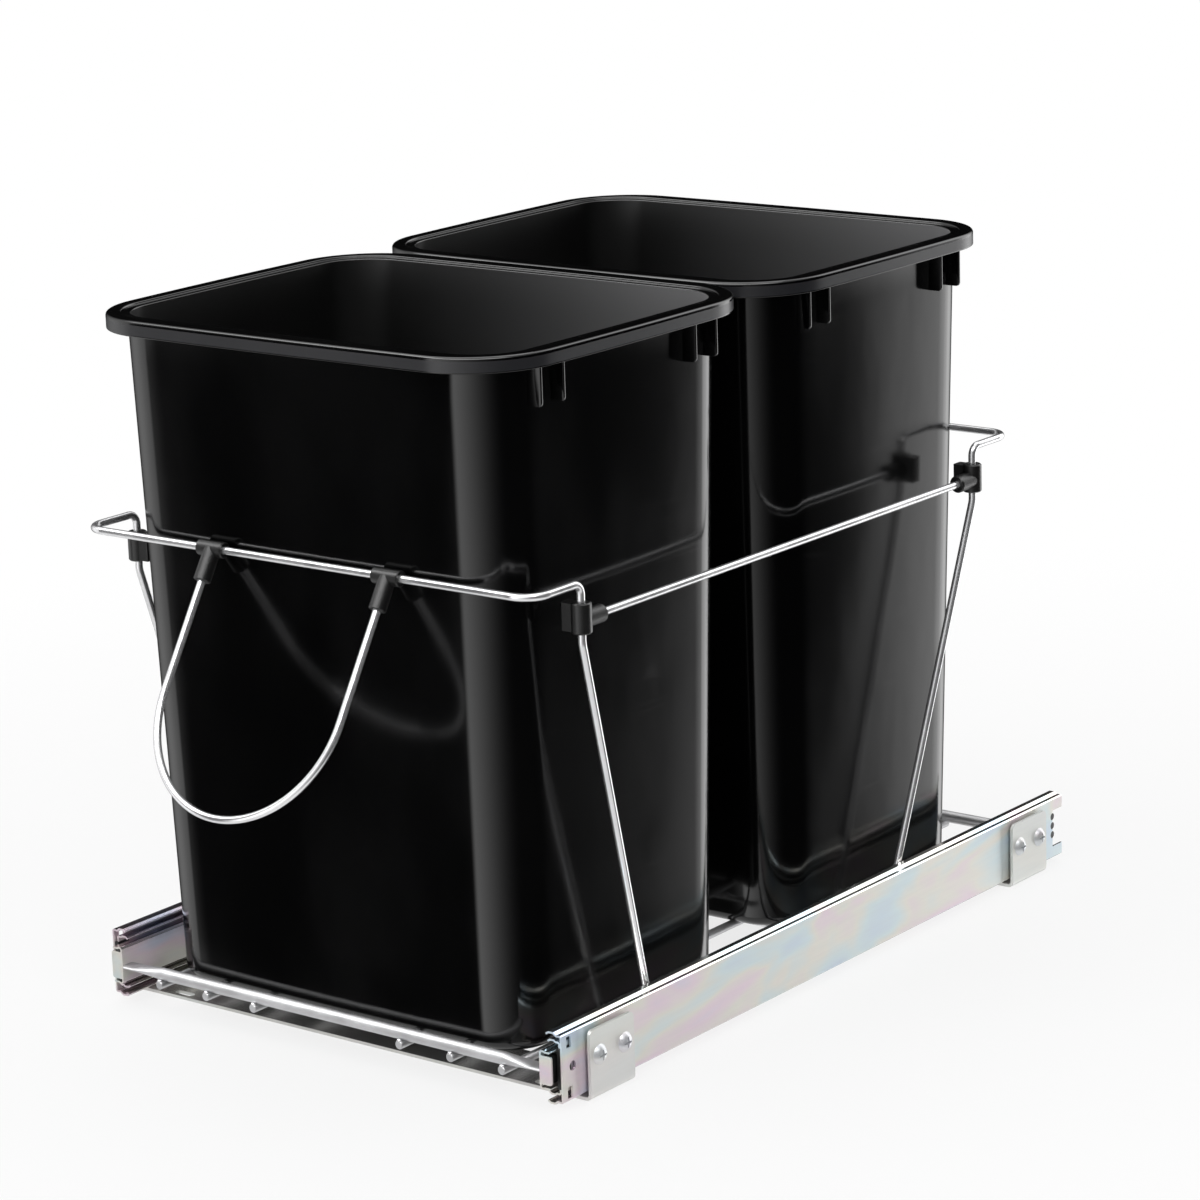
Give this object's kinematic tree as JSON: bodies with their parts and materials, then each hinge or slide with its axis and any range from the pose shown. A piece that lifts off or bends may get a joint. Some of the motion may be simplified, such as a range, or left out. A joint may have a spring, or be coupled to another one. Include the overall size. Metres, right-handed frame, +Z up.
{
  "type": "pull-out bin frame",
  "caption": "Pull-out wire frame on ball slides that carries lift-out tapered bins, with a swinging wire handle at the front.",
  "frame": {"origin": "bottom centre of the bounding box, under the straps, with the carriage pushed in", "axes": "+Z up, +X to the right when facing the handle, -Y towards the handle and the way the carriage rolls out"},
  "size_m": [0.3754, 0.6524, 0.447],
  "materials": {
    "zinc_sheet": "bright zinc plated sheet",
    "chrome_wire": "polished chrome plated wire",
    "ball_steel": "polished steel balls",
    "clamp_plastic": "satin black moulded plastic",
    "slide_plastic": "black moulded plastic",
    "bin_plastic": "glossy black moulded plastic"
  },
  "bodies": {
    "cabinet_side": {"front_strap": "zinc_sheet", "rear_strap": "zinc_sheet", "strap_sleeves": "zinc_sheet", "strap_screws": "zinc_sheet", "outer_member_left": "zinc_sheet", "outer_member_right": "zinc_sheet", "rear_bumper_left": "slide_plastic", "rear_bumper_right": "slide_plastic"},
    "carriage": {"inner_member_left": "zinc_sheet", "inner_member_right": "zinc_sheet", "release_lever_left": "slide_plastic", "release_lever_right": "slide_plastic", "front_crossbar": "chrome_wire", "rear_crossbar": "chrome_wire", "base_wires": "chrome_wire", "front_cross_wire": "chrome_wire", "rear_cross_wire": "chrome_wire", "front_leg_wire": "chrome_wire", "rear_leg_wire": "chrome_wire", "front_hoop": "chrome_wire", "rear_hoop": "chrome_wire", "side_rail_left": "chrome_wire", "side_rail_right": "chrome_wire", "front_clamp_left": "clamp_plastic", "front_clamp_right": "clamp_plastic", "rear_clamp_left": "clamp_plastic", "rear_clamp_right": "clamp_plastic"},
    "handle": {"handle_bail": "chrome_wire", "handle_tee_left": "clamp_plastic", "handle_tee_right": "clamp_plastic"},
    "front_bin_body": {"front_bin": "bin_plastic", "front_bin_rim": "bin_plastic"},
    "rear_bin_body": {"rear_bin": "bin_plastic", "rear_bin_rim": "bin_plastic"},
    "outer_balls_set_left": {"outer_cage_left": "zinc_sheet", "outer_balls_left": "ball_steel"},
    "middle_left": {"middle_member_left": "zinc_sheet", "front_stop_left": "slide_plastic"},
    "inner_balls_set_left": {"inner_cage_left": "zinc_sheet", "inner_balls_left": "ball_steel"},
    "outer_balls_set_right": {"outer_cage_right": "zinc_sheet", "outer_balls_right": "ball_steel"},
    "middle_right": {"middle_member_right": "zinc_sheet", "front_stop_right": "slide_plastic"},
    "inner_balls_set_right": {"inner_cage_right": "zinc_sheet", "inner_balls_right": "ball_steel"}
  },
  "joints": [
    {"name": "carriage_slide", "type": "slide", "parent": "cabinet_side", "child": "carriage", "axis": [0, -1, 0], "range_m": [0, 0.55]},
    {"name": "outer_balls_left_slide", "type": "slide", "parent": "cabinet_side", "child": "outer_balls_set_left", "axis": [0, -1, 0], "range_m": [0, 0.1375]},
    {"name": "middle_left_slide", "type": "slide", "parent": "cabinet_side", "child": "middle_left", "axis": [0, -1, 0], "range_m": [0, 0.275]},
    {"name": "inner_balls_left_slide", "type": "slide", "parent": "cabinet_side", "child": "inner_balls_set_left", "axis": [0, -1, 0], "range_m": [0, 0.4125]},
    {"name": "outer_balls_right_slide", "type": "slide", "parent": "cabinet_side", "child": "outer_balls_set_right", "axis": [0, -1, 0], "range_m": [0, 0.1375]},
    {"name": "middle_right_slide", "type": "slide", "parent": "cabinet_side", "child": "middle_right", "axis": [0, -1, 0], "range_m": [0, 0.275]},
    {"name": "inner_balls_right_slide", "type": "slide", "parent": "cabinet_side", "child": "inner_balls_set_right", "axis": [0, -1, 0], "range_m": [0, 0.4125]},
    {"name": "handle_swing", "type": "hinge", "parent": "carriage", "child": "handle", "pos_m": [0, -0.23903, 0.31], "axis": [-1, 0, 0], "range_deg": [-32, 110]},
    {"name": "front_bin_lift", "type": "slide", "parent": "carriage", "child": "front_bin_body", "axis": [0, 0, 1], "range_m": [0, 0.45]},
    {"name": "rear_bin_lift", "type": "slide", "parent": "carriage", "child": "rear_bin_body", "axis": [0, 0, 1], "range_m": [0, 0.45]}
  ],
  "couplings": [
    {"joint": "outer_balls_left_slide", "follows": "carriage_slide", "ratio": 0.25},
    {"joint": "middle_left_slide", "follows": "carriage_slide", "ratio": 0.5},
    {"joint": "inner_balls_left_slide", "follows": "carriage_slide", "ratio": 0.75},
    {"joint": "outer_balls_right_slide", "follows": "carriage_slide", "ratio": 0.25},
    {"joint": "middle_right_slide", "follows": "carriage_slide", "ratio": 0.5},
    {"joint": "inner_balls_right_slide", "follows": "carriage_slide", "ratio": 0.75}
  ]
}
